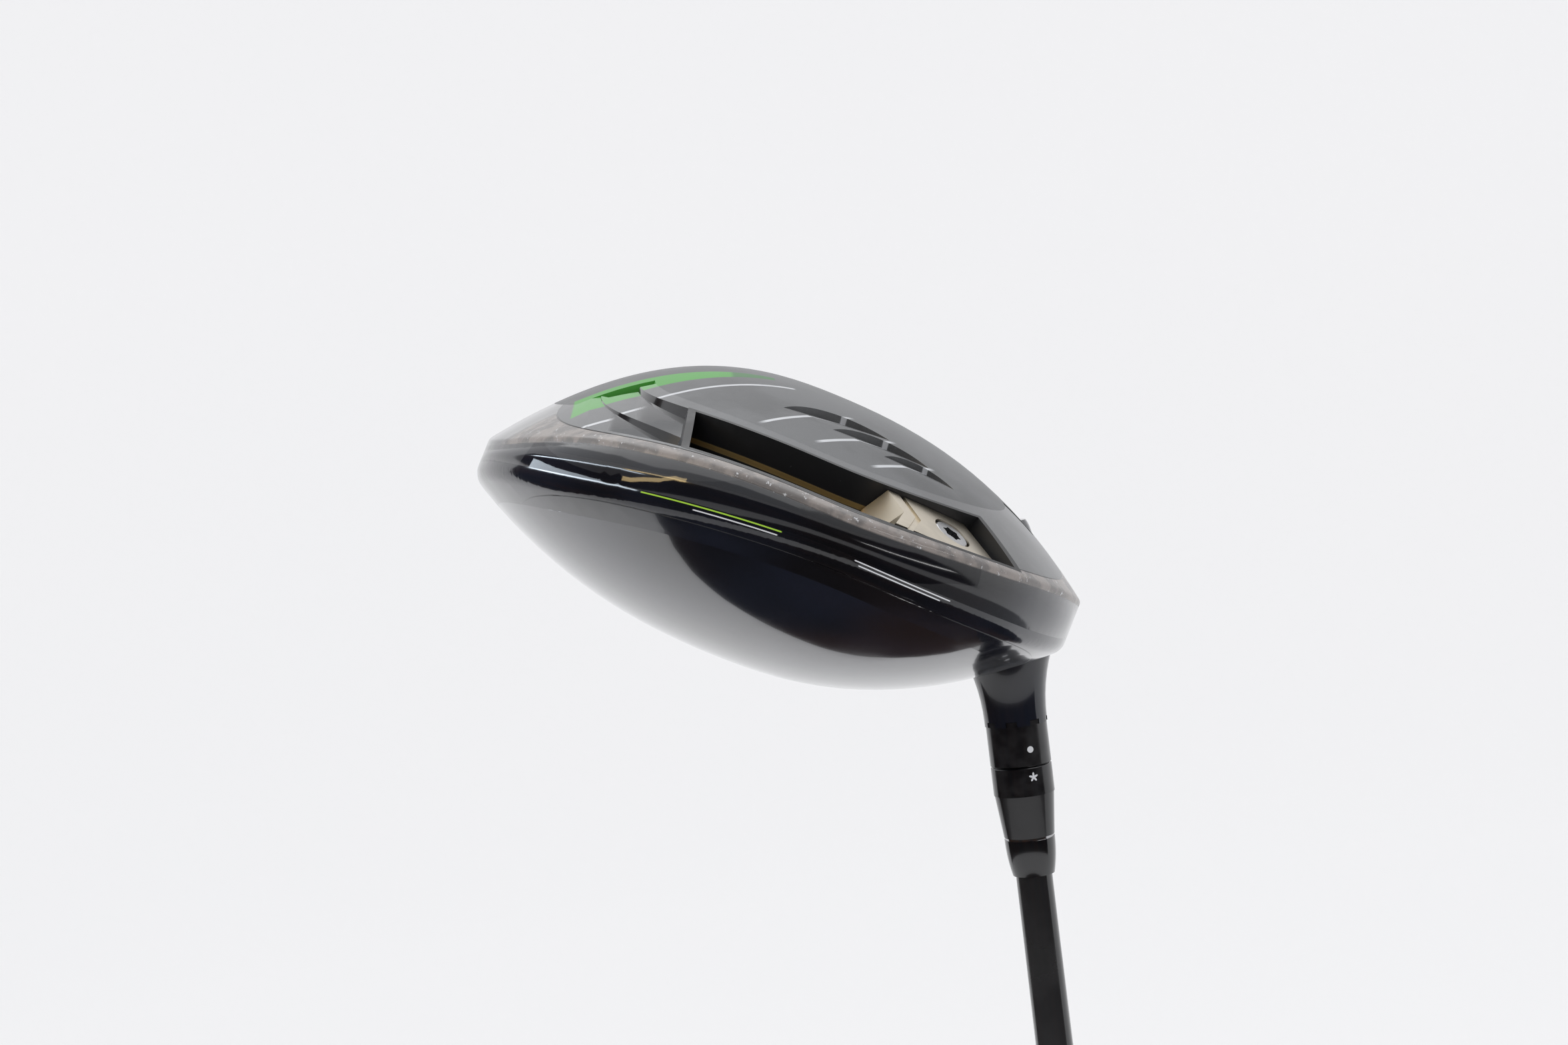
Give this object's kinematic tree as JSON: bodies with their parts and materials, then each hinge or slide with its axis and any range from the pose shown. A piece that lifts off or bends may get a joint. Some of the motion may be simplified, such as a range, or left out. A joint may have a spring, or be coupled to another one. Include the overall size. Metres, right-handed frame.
{
  "type": "golf driver",
  "caption": "Golf driver: hollow head with a weight that slides in a rear track, adjustable bolted hosel sleeve, tapered shaft and rubber grip.",
  "frame": {"origin": "middle of the grip's butt end, at the mouth of the cap's vent hole", "axes": "+Z along the shaft to the head, +Y the way the face looks, -X towards the toe"},
  "size_m": [0.1294, 0.123, 1.1865],
  "materials": {
    "head_paint": "gloss black paint, worn along the rear lip",
    "face_metal": "dark brushed face with painted border",
    "crown_gloss": "clear-coated black carbon",
    "sole_satin": "satin grey with a green stripe",
    "track_black": "satin black",
    "bare_cast": "as cast",
    "bolt_steel": "plated",
    "retainer_plastic": "natural nylon",
    "weight_champagne": "bead-blasted champagne",
    "clamp_steel": "machined",
    "screw_steel": "bead-blasted",
    "shaft_black": "painted graphite",
    "grip_rubber": "moulded, patterned",
    "cap_plastic": "moulded",
    "tape_paper": "crepe tape",
    "sleeve_black": "anodised black",
    "cog_black": "anodised black with white index marks",
    "ferrule_plastic": "polished black",
    "ring_silver": "turned"
  },
  "bodies": {
    "club": {"shaft": "shaft_black", "grip": "grip_rubber", "grip_cap": "cap_plastic", "grip_tape": "tape_paper", "shaft_sleeve": "sleeve_black", "lie_cog": "cog_black", "loft_cog": "cog_black", "ferrule": "ferrule_plastic", "ferrule_ring": "ring_silver"},
    "head": {"body_frame": "head_paint", "face_cup": "face_metal", "crown_panel": "crown_gloss", "sole_panel": "sole_satin", "weight_channel": "track_black", "stiffening_blades": "bare_cast", "bolt_washer": "bolt_steel", "bolt_retainer": "retainer_plastic"},
    "hosel_bolt": {"hosel_bolt": "bolt_steel"},
    "sliding_weight": {"slide_weight": "weight_champagne", "weight_clamp": "clamp_steel", "weight_screw_washer": "bolt_steel"},
    "weight_screw": {"weight_screw": "screw_steel"}
  },
  "joints": [
    {"name": "head_release", "type": "slide", "parent": "club", "child": "head", "axis": [0, 0, 1], "range_m": [0, 0.045]},
    {"name": "bolt_turn", "type": "hinge", "parent": "head", "child": "hosel_bolt", "pos_m": [0, 0, 1.135], "axis": [0, 0, 1], "continuous": true},
    {"name": "weight_slide", "type": "hinge", "parent": "head", "child": "sliding_weight", "pos_m": [-0.03761, -0.048, 1.17685], "axis": [-0.4848, 0, -0.8746], "range_deg": [-2.8, 41]},
    {"name": "weight_screw_turn", "type": "hinge", "parent": "sliding_weight", "child": "weight_screw", "pos_m": [-0.02959, -0.08999, 1.14642], "axis": [0.6122, -0.3892, 0.6883], "continuous": true}
  ]
}
